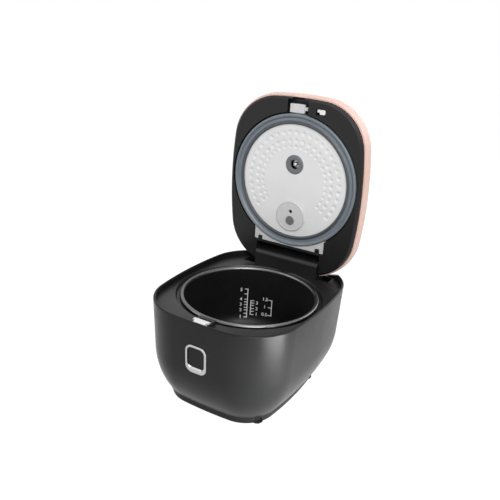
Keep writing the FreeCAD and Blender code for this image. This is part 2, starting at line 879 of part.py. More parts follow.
def latch_hook():
    """Upright plate with a block on top, and a nose on each side of it that holds the lid's front lip."""
    head_low = deck_z + hook_head_lift
    head_front = hook_front_y - hook_head_reach
    plate = box((-hook_half_w, hook_half_w), (hook_front_y, hook_back_y), (hook_bottom_z, hook_top_z))
    path = [
        (hook_back_y, head_low),
        (hook_back_y, hook_top_z),
        (hook_front_y, hook_top_z),
        (head_front, hook_top_z - 1.5),
        (head_front, head_low),
    ]
    head = path_face(path, lambda p: V(-hook_half_w, p[0], p[1])).extrude(V(hook_w, 0, 0))
    nose_half = hook_half_w + hook_nose_w
    noses = box((-nose_half, nose_half), (hook_front_y - hook_nose_reach, hook_back_y),
                (hook_top_z - hook_nose_h, hook_top_z))
    return plate.fuse([head, noses]).removeSplitter()


def latch_housing():
    """Guide for the latch under the deck, with the raised surround that shows above it."""
    in_half = hook_half_w + part_gap
    out_half = in_half + guide_wall
    back_in = hook_back_y + guide_room
    guide_low = hook_bottom_z + 2
    flange_z = ledge_z - deck_thick
    across, along = latch_bracket()
    cone_y = pot_axis_y - deck_dish_r - part_gap
    front_y = hook_front_y - hook_nose_reach - 1
    free_y = hook_front_y + button_travel
    solids = [
        box((-out_half, out_half), (free_y, back_in + guide_wall), (guide_low, flange_z)),
        box((-out_half, out_half), (front_y, back_in), (guide_split_z, flange_z)),
        box((-out_half - 5, out_half + 5), (front_y, cone_y), (flange_z, ledge_z)),
        box(across, along, (ledge_z - deck_thick / 2, bracket_top_z)),
    ]
    room_y = (hook_front_y - 2 * part_gap, back_in)
    room = box((-in_half, in_half), room_y, (guide_low - 1, bracket_top_z + 1))
    low_front = box((-out_half, out_half), (front_y - 1, free_y), (guide_low - 1, guide_split_z))
    mouth = box((-in_half, in_half), (front_y - 1, hook_front_y), (deck_z, bracket_top_z + 1))
    housing = solids[0].fuse(solids[1:]).cut([room, low_front, mouth]).removeSplitter()
    top = [e for e in housing.Edges if e.BoundBox.ZMin > bracket_top_z - 0.01]
    return housing.makeFillet(1.2, [e for e in top if e.BoundBox.XLength > 2 * in_half])


def latch_spring():
    wire_r = latch_wire_r
    length = guide_room - 2 * wire_r - 0.2
    spring = coil(latch_spring_r, wire_r, latch_spring_turns, length / latch_spring_turns)
    spring.rotate(V(0, 0, 0), X_AXIS, -90)
    spring.translate(V(0, hook_back_y + wire_r + 0.1, hook_bottom_z + 2 * latch_spring_r))
    return spring


# Hinge

def hinge_housing():
    """Block across the back of the deck that carries the hinge pin, hollow and open below."""
    front_round_z = hinge_top_z - hinge_front_round
    back_round_z = hinge_top_z - hinge_back_round
    front_end = (hinge_front_y + hinge_front_round, hinge_top_z)
    back_start = (hinge_back_y - hinge_back_round, hinge_top_z)
    path = [
        (hinge_front_y, well_floor_z),
        (hinge_front_y, front_round_z),
        (arc_middle((hinge_front_y, front_round_z), (0.0, 1.0), front_end), front_end),
        back_start,
        (arc_middle(back_start, (1.0, 0.0), (hinge_back_y, back_round_z)), (hinge_back_y, back_round_z)),
        (hinge_back_y, well_floor_z),
    ]
    block = path_face(path, lambda p: V(-hinge_half_w, p[0], p[1])).extrude(V(2 * hinge_half_w, 0, 0))
    room = box((-hinge_half_w + hinge_wall, hinge_half_w - hinge_wall),
               (hinge_front_y + hinge_wall + 1, hinge_back_y - hinge_wall),
               (well_floor_z - 1, hinge_top_z - hinge_roof))
    return block.cut([room, pin_bore()])


def pin_bore():
    """Running bore for the hinge pin, right across the lid."""
    length = 2 * (hinge_half_w + lid_gap + cheek_w)
    return Part.makeCylinder(pin_r + run_gap, length, V(-length / 2, hinge_y, hinge_z), X_AXIS)


def hinge_pin():
    half = hinge_half_w + lid_gap + cheek_w
    return Part.makeCylinder(pin_r, 2 * half, V(-half, hinge_y, hinge_z), X_AXIS)


def hinge_spring():
    radius = pin_r + hinge_wire_r + 0.4
    spring = coil(radius, hinge_wire_r, hinge_spring_turns, hinge_spring_pitch)
    spring.translate(V(0, 0, -hinge_spring_turns * hinge_spring_pitch / 2))
    spring.rotate(V(0, 0, 0), Y_AXIS, 90)
    spring.translate(V(0, hinge_y, hinge_z))
    return spring


# Power inlet and board

def power_inlet():
    half_w, half_h = inlet_w / 2, inlet_h / 2
    flange = rounded((-half_w, half_w), (-inlet_flange, 0), (-half_h, half_h), inlet_wall, Y_AXIS)
    in_w, in_h = half_w - inlet_wall / 2, half_h - inlet_wall / 2
    collar = rounded((-in_w, in_w), (0, inlet_depth), (-in_h, in_h), inlet_wall, Y_AXIS)
    socket = rounded((-in_w + inlet_wall, in_w - inlet_wall), (-2 * inlet_flange, socket_depth),
                     (-in_h + inlet_wall, in_h - inlet_wall), inlet_wall, Y_AXIS)
    body = flange.fuse(collar).cut(socket)
    return on_wall(body.cut(prongs(run_gap)), inlet_z, back=True)


def prongs(grow):
    """The three contact rods of the inlet, drawn on the wall's own axes."""
    rods = []
    for step in (-1, 0, 1):
        up = prong_pitch / 4 if step == 0 else -prong_pitch / 4
        rods.append(Part.makeCylinder(prong_r + grow, inlet_depth - prong_clear + 4,
                                      V(step * prong_pitch, prong_clear, up), Y_AXIS))
    return rods


def inlet_pins():
    return on_wall(Part.makeCompound(prongs(0)), inlet_z, back=True)


def power_board():
    half = board_w / 2
    return rounded((-half, half), (board_y, board_y + board_thick), (board_z, board_z + board_h), 2, Y_AXIS)


def board_parts():
    face = board_y + board_thick
    x, y, z = relay
    relay_box = rounded((-x - 4, -4), (face, face + y), (board_z + 14, board_z + 14 + z), 1)
    can = Part.makeCylinder(capacitor_r, capacitor_l, V(x - 4, face, board_z + 14 + capacitor_r), Y_AXIS)
    top = board_z + board_h - 10
    driver = rounded((-x / 2, x / 2), (face, face + y / 3), (top - 12, top), 1)
    return Part.makeCompound([relay_box, can, driver])


# Lid

def lid_screw_places():
    """Centres of the four screws that hold liner and cover together."""
    return [(sx * lid_screw_x, pot_axis_y + sy * lid_screw_y) for sx in (1, -1) for sy in (1, -1)]


def panel_plan(shrink, low, high):
    """Control panel's plan between two heights, drawn in by shrink."""
    half = panel_half_w - shrink
    along = (panel_front_y + shrink, panel_back_y - shrink)
    return rounded((-half, half), along, (low, high), panel_corner - shrink)


def lid_board_box():
    half = panel_half_w - lid_board_margin
    return (-half, half), (panel_front_y + lid_board_margin / 2, panel_back_y - lid_board_margin / 2)


def lid_cover():
    inner_top_z = lid_top_z - cover_wall
    side_in = cover_side_inset + cover_wall
    flat = cover_side_inset + cover_round
    up, down, across = (0.0, 1.0), (0.0, -1.0), (-1.0, 0.0)
    edge_out, side_out = (cover_edge_inset, cover_edge_z), (cover_side_inset, cover_side_top_z)
    edge_in, side_low = (cover_edge_inset + cover_wall, cover_edge_z), (side_in, cover_side_top_z)
    wall = wall_round(LID, [
        edge_out,
        (arc_middle(side_out, down, edge_out), side_out),
        (arc_middle(side_out, up, (flat, lid_top_z)), (flat, lid_top_z)),
        (flat + cover_flat_reach, lid_top_z),
        (flat + cover_flat_reach, inner_top_z),
        (flat, inner_top_z),
        (arc_middle((flat, inner_top_z), across, side_low), side_low),
        (arc_middle(side_low, down, edge_in), edge_in),
    ])
    middle = slab(LID, flat + cover_flat_reach - 1, inner_top_z, lid_top_z)
    adds = [middle]
    for x, y in lid_screw_places():
        adds.append(tube(screw_r + 2.5, 0, dish_floor_z + dish_wall, inner_top_z, x, y))
    board_x, board_y_span = lid_board_box()
    for x in board_x:
        for y in board_y_span:
            inward_x = x - math.copysign(4, x)
            inward_y = y + (4 if y == board_y_span[0] else -4)
            adds.append(tube(3, 0, inner_top_z - board_drop, inner_top_z, inward_x, inward_y))
    sense_low = sense_top_z + sense_spring_h
    pin_x = sense_boxes()[2]
    adds.append(tube(4, 0, sense_low, inner_top_z, (pin_x[0] + pin_x[1]) / 2, sense_y))
    hinge_x = (-pocket_half_w, pocket_half_w)
    cuts = [
        box(hinge_x, (hinge_front_y, body_back_y + 1), (cover_edge_z - 1, pocket_ceiling_z)),
        tube(duct_r + duct_wall + part_gap, 0, inner_top_z - 1, lid_top_z + 1, 0, vent_y),
        panel_plan(0, lid_top_z - panel_thick, lid_top_z + 1),
    ]
    for x, y in lid_screw_places():
        cuts.append(tube(screw_r, 0, dish_floor_z, dish_floor_z + 16, x, y))
    return wall.fuse(adds).cut(cuts).removeSplitter()


def hinge_cheek():
    """Block on the liner beside the hinge housing, bored for the pin."""
    x = (pocket_half_w, pocket_half_w + cheek_w)
    low = box(x, (hinge_y - cheek_r, hinge_y + cheek_r), (liner_z, hinge_z))
    top = Part.makeCylinder(cheek_r, cheek_w, V(x[0], hinge_y, hinge_z), X_AXIS)
    return low.fuse(top)


def sense_boxes():
    """Slot of the sensor pin and the pin itself, in plan."""
    slot_x = (sense_x - sense_slot_w / 2, sense_x + sense_slot_w / 2)
    slot_y = (sense_y - sense_slot_d / 2, sense_y + sense_slot_d / 2)
    pin_x = (slot_x[1] - 1 - sense_pin_w, slot_x[1] - 1)
    pin_y = (sense_y - sense_pin_d / 2, sense_y + sense_pin_d / 2)
    return slot_x, slot_y, pin_x, pin_y


def lid_liner():
    """Dark moulding under the lid: flat frame, skirt, round dish for the inner lid, and its pockets."""
    floor_top = dish_floor_z + dish_wall
    plate = slab(LID, liner_inset, liner_z, liner_z + liner_thick)
    skirt_in = liner_inset + liner_thick
    skirt = wall_round(LID, [
        (liner_inset, liner_z),
        (skirt_in, liner_z),
        (skirt_in, liner_top_z),
        (liner_inset, liner_top_z),
    ])
    slot_x, slot_y, pin_x, pin_y = sense_boxes()
    pocket_front = liner_front_y + liner_thick
    dish_front = pot_axis_y - dish_r + dish_wall
    ear_x = (-ear_half_w, ear_half_w)
    hinge_x = (-pocket_half_w, pocket_half_w)
    adds = [
        skirt,
        tube(dish_r + dish_wall, 0, liner_z, floor_top),
        box(grown(ear_x, dish_wall), (ear_recess_y, ear_back_y + dish_wall), (liner_z, floor_top)),
        box(grown(hinge_x, dish_wall), (ear_back_y, pocket_end_y), (liner_z, pocket_ceiling_z + dish_wall)),
        box(grown(front_pocket_x, dish_wall), (pocket_front, dish_front), (liner_z, floor_top)),
        box(grown(slot_x, dish_wall), grown(slot_y, dish_wall), (liner_z, sense_roof_z + dish_wall)),
        tube(duct_r + duct_wall, 0, dish_floor_z, lid_top_z - cover_wall, 0, vent_y),
        hinge_cheek(),
        mirrored(hinge_cheek()),
    ]
    below = liner_z - 1
    sense_hole_round = sense_pin_round + part_gap
    notch_x = (-hook_half_w - lid_gap, hook_half_w + lid_gap)
    lip_x = grown(notch_x, hook_nose_w)
    bevel = wall_round(LID, [
        (liner_inset - 1, liner_z - 1),
        (liner_inset + liner_bevel + 1, liner_z - 1),
        (liner_inset - 1, liner_z + liner_bevel + 1),
    ])
    lip_y = (lid_front_y, pocket_front + liner_bevel)
    lip_front = box(grown(lip_x, liner_bevel), lip_y, (below, liner_top_z))
    cuts = [
        bevel.cut(lip_front),
        tube(dish_r, 0, below, dish_floor_z),
        box(ear_x, (ear_recess_y, ear_back_y), (below, dish_floor_z)),
        box(hinge_x, (ear_back_y + dish_wall, body_back_y), (below, pocket_ceiling_z)),
        box(front_pocket_x, (pocket_front, dish_front), (below, dish_floor_z)),
        box(lip_x, (liner_front_y + front_wall, pocket_front), (front_lip_z, liner_top_z)),
        box(notch_x, (lid_front_y, pocket_front), (below, liner_top_z - notch_strip_h)),
        box(slot_x, slot_y, (below, sense_roof_z)),
        rounded(grown(pin_x, part_gap), grown(pin_y, part_gap), (below, floor_top), sense_hole_round),
        tube(duct_r, 0, dish_floor_z - 1, lid_top_z, 0, vent_y),
        pin_bore(),
    ]
    for x, y in lid_screw_places():
        cuts.append(tube(screw_r + run_gap, 0, dish_floor_z - 1, floor_top + 1, x, y))
    liner = plate.fuse(adds).cut(cuts)
    lug = box(lug_x, (ear_back_y - lug_reach, ear_back_y + dish_wall), (lug_face_z, floor_top))
    pins = [lug, mirrored(lug)]
    for side in (1, -1):
        start = V(side * (ear_half_w + dish_wall / 2), tilt_y, tilt_z)
        pins.append(Part.makeCylinder(tilt_pin_r, tilt_pin_l + dish_wall / 2, start, V(-side, 0, 0)))
    return liner.fuse(pins).removeSplitter()


def lid_screws():
    screws = []
    head_z = dish_floor_z - 2
    tip_z = dish_floor_z + 14
    head_r = screw_head_r - 0.5
    for x, y in lid_screw_places():
        screws.append(turned([(0, head_z), (head_r, head_z), (head_r, dish_floor_z), (screw_r, dish_floor_z),
                              (screw_r, tip_z), (0, tip_z)], x, y))
    return Part.makeCompound(screws)


def lid_probe():
    """Temperature probe under the dish floor, seen through the grommet."""
    return turned([
        (0, probe_tip_z),
        (probe_r - 1, probe_tip_z),
        (probe_r, probe_tip_z + 1),
        (probe_r, dish_floor_z - 1.5),
        (2 * probe_r, dish_floor_z - 1.5),
        (2 * probe_r, dish_floor_z),
        (0, dish_floor_z),
    ], 0, grommet_y)


def control_panel():
    return panel_plan(part_gap, lid_top_z - panel_thick, lid_top_z)


def control_board():
    x, y = lid_board_box()
    top = lid_top_z - cover_wall - board_drop
    return rounded(x, y, (top - board_thick, top), 2)


def steam_cap():
    """Cup in the steam duct with a wide rim on the lid's top and slots for the steam."""
    out_r = duct_r - part_gap
    low = lid_top_z - 17
    rim_z = lid_top_z + part_gap
    top = rim_z + cap_h
    cap = turned([
        (8, low),
        (out_r, low),
        (out_r, rim_z),
        (cap_r, rim_z),
        (arc_middle((cap_r, rim_z), (0.0, 1.0), (cap_r - cap_h, top)), (cap_r - cap_h, top)),
        (0, top - 0.6),
        (0, top - 0.6 - cap_wall),
        (out_r - cap_wall, top - 1 - cap_wall),
        (out_r - cap_wall, low + cap_wall),
        (8, low + cap_wall),
    ], 0, vent_y)
    slots = []
    for n in range(cap_slots):
        y = vent_y + (n - (cap_slots - 1) / 2) * 3 * cap_slot_w
        slots.append(rounded((-10, 10), (y - cap_slot_w / 2, y + cap_slot_w / 2), (low + 6, top + 1),
                             cap_slot_w / 2 - 0.1))
    return cap.cut(slots)


def inner_lid_clip():
    """Catch at the inner lid's edge, with a small ear and a tongue that runs under the pocket's roof."""
    tab = rounded(clip_x, (clip_front_y, clip_back_y), (clip_face_z, clip_top_z), 1.2)
    face = [e for e in tab.Edges if e.BoundBox.ZMax < clip_face_z + 0.01]
    tab = tab.makeFillet(0.8, face)
    ear_y = (clip_ear_y - clip_ear_d / 2, clip_ear_y + clip_ear_d / 2)
    ear = box((clip_x[1] - 1, clip_x[1] + clip_ear), ear_y, (clip_face_z + 1, clip_top_z))
    tongue_y = (clip_ear_y - clip_tongue / 2, clip_ear_y + clip_tongue / 2)
    tongue = box(grown(clip_x, -3), tongue_y, (clip_top_z, dish_floor_z - part_gap))
    return tab.fuse([ear, tongue])


def lid_sensor_pin():
    pin_x, pin_y = sense_boxes()[2:]
    pin = rounded(pin_x, pin_y, (sense_face_z, sense_top_z), sense_pin_round)
    face = [e for e in pin.Edges if e.BoundBox.ZMax < sense_face_z + 0.01]
    nub = box((pin_x[0] - sense_nub_w, sense_x), (pin_y[0], pin_y[0] + sense_nub_d),
              (sense_face_z + 1, sense_roof_z - sense_travel - part_gap))
    return pin.makeFillet(0.8, face).fuse(nub)


def sensor_pin_spring():
    pin_x = sense_boxes()[2]
    length = sense_spring_h - 2 * sense_wire_r - 0.2
    spring = coil(sense_spring_r, sense_wire_r, sense_spring_turns, length / sense_spring_turns)
    spring.translate(V((pin_x[0] + pin_x[1]) / 2, sense_y, sense_top_z + sense_wire_r + 0.1))
    return spring


# Inner lid

def inner_lid_plate():
    """Pressed sheet with rings of round dents, and holes for the grommet and the vent."""
    plate = tube(plate_sheet_r, 0, plate_face_z, plate_face_z + plate_sheet)
    plate = plate.cut([
        tube(grommet_neck_r + 0.2, 0, plate_face_z - 1, plate_face_z + 5, 0, grommet_y),
        tube(vent_neck_r + 0.2, 0, plate_face_z - 1, plate_face_z + 5, 0, vent_y),
    ])
    hollows, backs = [], []
    for ring_in, count, dimple_r in dimple_rings:
        ring_r = plate_sheet_r - ring_in
        ball_r = (dimple_r ** 2 + dimple_depth ** 2) / (2 * dimple_depth)
        drop = ball_r - dimple_depth
        below = math.degrees(math.asin((drop - dimple_depth / 4) / ball_r))
        inside = math.degrees(math.asin((drop + plate_sheet / 4) / (ball_r + dimple_wall)))
        for n in range(count):
            angle = math.radians(-90 + dimple_span * ((n + 0.5) / count - 0.5))
            centre = V(ring_r * math.cos(angle), pot_axis_y + ring_r * math.sin(angle), plate_face_z - drop)
            hollows.append(Part.makeSphere(ball_r, centre, Z_AXIS, below, 90, 360))
            backs.append(Part.makeSphere(ball_r + dimple_wall, centre, Z_AXIS, inside, 90, 360))
    return plate.fuse(backs).cut(hollows)


def inner_lid_frame():
    """Carrier ring behind plate and seal, with two ears that hook over the liner's pins."""
    ring = turned([
        (carrier_in_r, plate_face_z + plate_sheet),
        (carrier_step_r, plate_face_z + plate_sheet),
        (carrier_step_r, seal_top_z),
        (carrier_r, seal_top_z),
        (carrier_r, carrier_top_z),
        (carrier_in_r, carrier_top_z),
    ])
    half = ear_half_w - 2.3 * part_gap
    back = rounded((-half, half), (ear_front_y, ear_back_y - 5 * part_gap), (ear_face_z, ear_top_z), 2)
    back = back.cut([
        tube(seal_r + part_gap, 0, ear_face_z - 1, seal_top_z),
        tube(carrier_in_r, 0, seal_top_z, ear_top_z),
    ])
    cuts = []
    for side in (1, -1):
        bore_l = tilt_pin_l + part_gap
        cuts.append(Part.makeCylinder(tilt_pin_r + run_gap, bore_l, V(side * ear_half_w, tilt_y, tilt_z),
                                      V(-side, 0, 0)))
    notch = box(grown(lug_x, 2 * part_gap), (ear_back_y - lug_reach - 4 * part_gap, ear_back_y),
                (ear_face_z - 1, carrier_top_z + 1))
    return ring.fuse(back).cut(cuts + [notch, mirrored(notch)]).removeSplitter()


def pot_seal():
    """Silicone ring with a rounded outer bead, a groove and a thin inner lip."""
    top_in = plate_face_z - 0.05
    bead_in = seal_r - 4.2
    lip_r = seal_in_r + 2.6
    return turned([
        (seal_in_r, top_in),
        (seal_in_r, seal_face_z + 3.0),
        ((seal_in_r + 1.2, seal_face_z + 1.6), (lip_r, seal_face_z + 1.3)),
        (lip_r + 1.6, seal_face_z + 1.6),
        (lip_r + 3.4, seal_face_z + 3.2),
        (bead_in - 2.6, seal_face_z + 3.2),
        (bead_in, seal_face_z + 0.5),
        ((seal_r - 2.0, seal_face_z), (seal_r, seal_face_z + 2.0)),
        (seal_r, seal_top_z - 1.2),
        (seal_r - 1.2, seal_top_z),
        (carrier_step_r, seal_top_z),
        (carrier_step_r, top_in),
    ])


def centre_grommet():
    back_z = plate_face_z + plate_sheet
    return turned([
        (grommet_hole_r, grommet_face_z + 0.6),
        (grommet_hole_r + 1.2, grommet_face_z),
        (grommet_r - 1.6, grommet_face_z),
        (grommet_r, grommet_face_z + 1.2),
        (grommet_r, plate_face_z),
        (grommet_neck_r, plate_face_z),
        (grommet_neck_r, back_z),
        (grommet_r - 1, back_z),
        (grommet_r - 1, back_z + 1.6),
        (grommet_hole_r, back_z + 1.6),
    ], 0, grommet_y)


def vent_cap():
    neck_top = plate_face_z + plate_sheet + 4
    cap = turned([
        (0, vent_face_z),
        (vent_r - 3, vent_face_z),
        (vent_r - 1.4, vent_face_z - 0.5),
        (vent_r, vent_face_z + 0.8),
        (vent_r, plate_face_z),
        (vent_neck_r, plate_face_z),
        (vent_neck_r, neck_top),
        (vent_neck_r - vent_neck_wall, neck_top),
        (vent_neck_r - vent_neck_wall, plate_face_z),
        (0, plate_face_z),
    ], 0, vent_y)
    hole = tube(vent_hole_r, 0, vent_face_z - 1, plate_face_z + 1, 0, vent_y + vent_hole_shift)
    seat = tube(valve_r + 0.2, 0, vent_face_z - 1, vent_face_z + valve_thick / 2, 0, vent_y + valve_shift)
    return cap.cut([hole, seat])


def vent_valve():
    low = vent_face_z - valve_thick / 2
    high = vent_face_z + valve_thick / 2 - 0.05
    return turned([(0, low), (valve_r - 0.6, low), (valve_r, low + 0.6), (valve_r, high), (0, high)],
                  0, vent_y + valve_shift)


# Every piece by its name, the fixed ones first

BODY_PIECES = [
    outer_shell, base_tray, rubber_feet, base_screws, deck_ring, inner_pot, inner_liner, heating_plate,
    heater_element, plate_posts, sensor_housing, sensor_cap, sensor_spring, thermal_fuse, button_frame,
    release_button, latch_hook, latch_housing, latch_spring, hinge_housing, hinge_pin, hinge_spring,
    power_inlet, inlet_pins, power_board, board_parts,
]
LID_PIECES = [
    lid_cover, lid_liner, lid_screws, lid_probe, control_panel, control_board, steam_cap, inner_lid_clip,
    lid_sensor_pin, sensor_pin_spring, inner_lid_plate, inner_lid_frame, pot_seal, centre_grommet,
    vent_cap, vent_valve,
]


def write(name, shape):
    if not shape.isValid():
        print(name, "is not valid")
    print(name, "solids", len(shape.Solids), "volume", round(shape.Volume))
    shape.exportStep(os.path.join("parts", name + ".step"))


os.makedirs("parts", exist_ok=True)
for piece in BODY_PIECES:
    write(piece.__name__, piece())
for piece in LID_PIECES:
    write(piece.__name__, open_lid(piece()))
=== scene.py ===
import json
import math

import bmesh
import bpy
from mathutils import Matrix, Vector

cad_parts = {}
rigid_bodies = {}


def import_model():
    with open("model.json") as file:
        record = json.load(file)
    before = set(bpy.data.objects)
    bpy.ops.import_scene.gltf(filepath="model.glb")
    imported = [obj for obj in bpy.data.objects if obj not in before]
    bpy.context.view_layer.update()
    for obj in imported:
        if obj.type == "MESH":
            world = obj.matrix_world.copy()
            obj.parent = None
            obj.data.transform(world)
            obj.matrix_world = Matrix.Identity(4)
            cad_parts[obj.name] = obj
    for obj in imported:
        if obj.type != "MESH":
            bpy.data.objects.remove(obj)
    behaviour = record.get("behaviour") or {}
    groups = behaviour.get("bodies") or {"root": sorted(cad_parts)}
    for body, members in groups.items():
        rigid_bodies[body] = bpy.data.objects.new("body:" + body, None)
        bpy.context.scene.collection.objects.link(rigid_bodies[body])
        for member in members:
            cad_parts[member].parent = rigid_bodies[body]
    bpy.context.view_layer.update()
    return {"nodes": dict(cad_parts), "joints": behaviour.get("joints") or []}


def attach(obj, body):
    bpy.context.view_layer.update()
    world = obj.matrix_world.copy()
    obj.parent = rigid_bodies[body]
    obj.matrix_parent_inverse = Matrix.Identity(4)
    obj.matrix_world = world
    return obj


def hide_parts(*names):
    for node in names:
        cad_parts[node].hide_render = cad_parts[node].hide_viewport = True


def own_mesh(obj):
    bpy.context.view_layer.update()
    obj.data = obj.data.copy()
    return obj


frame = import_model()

NODES = frame["nodes"]
JOINTS = {joint["name"]: joint for joint in frame["joints"]}


# Sizes on the part, in metres

# Pot: its axis, the inside of its straight wall, the bend at its foot, and where its bare rim begins
POT_Y = -0.014
POT_R = 0.100
POT_BEND_Z = 0.070
POT_BEND_R = 0.0278
POT_RIM_Z = 0.150
POT_RIM_BLEND = 0.0003

# Seal on the open lid: its middle in x and z, and the outer edge of its inner band of painted shade
SEAL_MIDDLE = (0.0, 0.0, 0.3063)
SEAL_SHADE_R = 0.0972
SEAL_SHADE_BLEND = 0.0006

# Control panel: its top face on the shut lid
PANEL_TOP = 0.199

# Printed ink: how far its face stands off the pot's wall, and how thick it is
INK_LIFT = 0.00015
INK_THICK = 0.00008


# Colours

CHARCOAL = (0.0105, 0.0106, 0.011)
BLACK = (0.009, 0.009, 0.0095)
PINK = (0.80, 0.56, 0.49)
WHITE = (0.74, 0.74, 0.73)
SHEET_GREY = (0.70, 0.70, 0.70)
CLIP_GREY = (0.57, 0.57, 0.57)
CREAM = (0.55, 0.50, 0.40)
NAVY = (0.03, 0.05, 0.12)
SILICONE = (0.145, 0.17, 0.195)
DARK_SILICONE = (0.125, 0.135, 0.145)
FOOT_BLACK = (0.012, 0.012, 0.012)
PLATING = (0.46, 0.46, 0.47)
STEEL = (0.56, 0.56, 0.57)
ALUMINIUM = (0.62, 0.62, 0.63)
SCALE_BROWN = (0.26, 0.24, 0.22)
BRASS = (0.68, 0.5, 0.24)
SOLDER = (0.72, 0.7, 0.66)
BROWN_MASK = (0.30, 0.20, 0.08)
BROWN_TRACK = (0.5, 0.36, 0.14)
GREEN_MASK = (0.02, 0.14, 0.06)
GREEN_TRACK = (0.05, 0.28, 0.12)
WHITE_INK = (0.92, 0.92, 0.91)
GREY_INK = (0.62, 0.62, 0.62)


# Materials

# Sockets of the Mix node that carry colours
MIX_FACTOR = 0
MIX_FIRST = 6
MIX_SECOND = 7
MIX_RESULT = 2

# Cosine between the true and the rounded normal on a sharp edge, and where a face counts as flat
EDGE_SHARP = 0.86
EDGE_FLAT = 0.995
EDGE_SAMPLES = 4


class Surface:
    """A node material in the part's own coordinates, built up in layers."""

    def __init__(self, name):
        self.material = bpy.data.materials.new(name)
        self.material.use_nodes = True
        self.tree = self.material.node_tree
        self.shader = self.tree.nodes["Principled BSDF"]
        self.place = self.tree.nodes.new("ShaderNodeTexCoord").outputs["Object"]

    def fill(self, socket, value):
        """Link an output to a socket, or set the socket to a plain value."""
        if isinstance(value, bpy.types.NodeSocket):
            self.tree.links.new(value, socket)
        else:
            socket.default_value = value

    def node(self, kind, inputs=None, **settings):
        made = self.tree.nodes.new("ShaderNode" + kind)
        for key, value in settings.items():
            setattr(made, key, value)
        for key, value in (inputs or {}).items():
            self.fill(made.inputs[key], value)
        return made

    def put(self, socket, value):
        self.fill(self.shader.inputs[socket], value)

    def noise(self, scale, detail=2.0, roughness=0.5, stretch=None):
        place = self.place
        if stretch:
            place = self.node("Mapping", {"Vector": place, "Scale": stretch}).outputs[0]
        made = self.node("TexNoise", {"Vector": place, "Scale": scale,
                                      "Detail": detail, "Roughness": roughness})
        return made.outputs["Fac"]

    def spread(self, value, low, high, start=0.3, end=0.7):
        """The value's stretch from start to end, mapped from low to high."""
        made = self.node("MapRange", {"Value": value, "From Min": start, "From Max": end,
                                      "To Min": low, "To Max": high})
        return made.outputs[0]

    def step(self, value, place, blend):
        """0 below a place and 1 above it, with a narrow blend."""
        return self.spread(value, 0.0, 1.0, start=place - blend, end=place + blend)

    def mix(self, factor, first, second):
        inputs = {MIX_FACTOR: factor, MIX_FIRST: first, MIX_SECOND: second}
        return self.node("Mix", inputs, data_type="RGBA").outputs[MIX_RESULT]

    def math(self, operation, first, second):
        return self.node("Math", {0: first, 1: second}, operation=operation).outputs[0]

    def height(self):
        return self.node("SeparateXYZ", {0: self.place}).outputs[2]

    def soft_edges(self, radius):
        """Rounded-edge normal, and a mask that is 1 on sharp edges."""
        bevel = self.node("Bevel", {"Radius": radius}, samples=EDGE_SAMPLES).outputs[0]
        normal = self.node("NewGeometry").outputs["Normal"]
        dot = self.node("VectorMath", {0: bevel, 1: normal}, operation="DOT_PRODUCT").outputs["Value"]
        return bevel, self.spread(dot, 1.0, 0.0, start=EDGE_SHARP, end=EDGE_FLAT)

    def bump(self, height, depth, normal=None):
        inputs = {"Height": height, "Distance": depth, "Strength": 1.0}
        if normal is not None:
            inputs["Normal"] = normal
        return self.node("Bump", inputs).outputs[0]


def tone(colour, factor=1.0):
    """The colour made darker or paler, with full cover."""
    return tuple(min(1.0, channel * factor) for channel in colour) + (1.0,)


def moulded(name, colour, rough, grain=1400.0, depth=0.00003, mottle=0.07, wear_and_highlight=0.25,
            edge=0.0006, shine=0.5):
    """Moulded plastic: cloudy colour, fine spark grain, uneven sheen, and paler edges that are partly wear
    and partly painted highlight.
    """
    s = Surface(name)
    uneven = 0.03
    normal, edges = s.soft_edges(edge)
    cloud = s.spread(s.noise(scale=16.0, detail=3.0), 0.0, 1.0)
    body = s.mix(cloud, tone(colour, 1 - mottle), tone(colour, 1 + mottle))
    specks = s.spread(s.noise(scale=grain * 0.6, detail=1.0), 0.0, 0.35, start=0.55, end=0.8)
    body = s.mix(specks, body, tone(colour, 1 + 3 * mottle))
    # Paler sharp edges: partly wear, partly painted highlight where the edges would catch the light
    rub_and_highlight = s.math("MULTIPLY", edges, s.spread(s.noise(scale=90.0, detail=3.0), 0.0, wear_and_highlight))
    worn_and_highlit = tone([channel + 0.06 for channel in colour], 1.3)
    s.put("Base Color", s.mix(rub_and_highlight, body, worn_and_highlit))
    sheen = s.noise(scale=45.0, detail=4.0)
    s.put("Roughness", s.spread(sheen, rough - uneven, rough + uneven))
    s.put("Specular IOR Level", shine)
    s.put("Normal", s.bump(s.noise(scale=grain), depth, normal))
    return s.material


def metal(name, colour, rough, lines=None, depth=0.00002, edge=0.0004, dull=0.2):
    """Bare metal with drawn lines or cast grain, dull patches and brighter edges."""
    s = Surface(name)
    normal, edges = s.soft_edges(edge)
    grain = s.noise(scale=600.0, detail=3.0, roughness=0.6, stretch=lines)
    patch = s.noise(scale=22.0, detail=4.0, roughness=0.6)
    body = s.mix(s.spread(patch, 0.0, 1.0), tone(colour, 1 - dull), tone(colour, 1.05))
    s.put("Base Color", s.mix(s.math("MULTIPLY", edges, 0.5), body, tone(colour, 1.25)))
    s.put("Metallic", 1.0)
    sheen = s.math("MULTIPLY", s.math("ADD", grain, patch), 0.5)
    s.put("Roughness", s.spread(sheen, rough - 0.07, rough + 0.09))
    s.put("Normal", s.bump(grain, depth, normal))
    return s.material


def dusty(s, colour, dark=0.93, pale=1.08):
    """The colour in a cloud between a darker and a paler tone."""
    dust = s.spread(s.noise(scale=60.0, detail=5.0, roughness=0.65), 0.0, 1.0)
    return s.mix(dust, tone(colour, dark), tone(colour, pale))


def rubber_skin(s, body, colour, rough):
    """Paler edges over the body's colour, uneven sheen and a fine skin."""
    uneven = 0.06
    normal, edges = s.soft_edges(radius=0.0008)
    s.put("Base Color", s.mix(s.math("MULTIPLY", edges, 0.3), body, tone(colour, 1.35)))
    sheen = s.noise(scale=150.0, detail=3.0)
    s.put("Roughness", s.spread(sheen, rough - uneven, rough + uneven))
    s.put("Normal", s.bump(s.noise(scale=500.0, detail=3.0), 0.00004, normal))


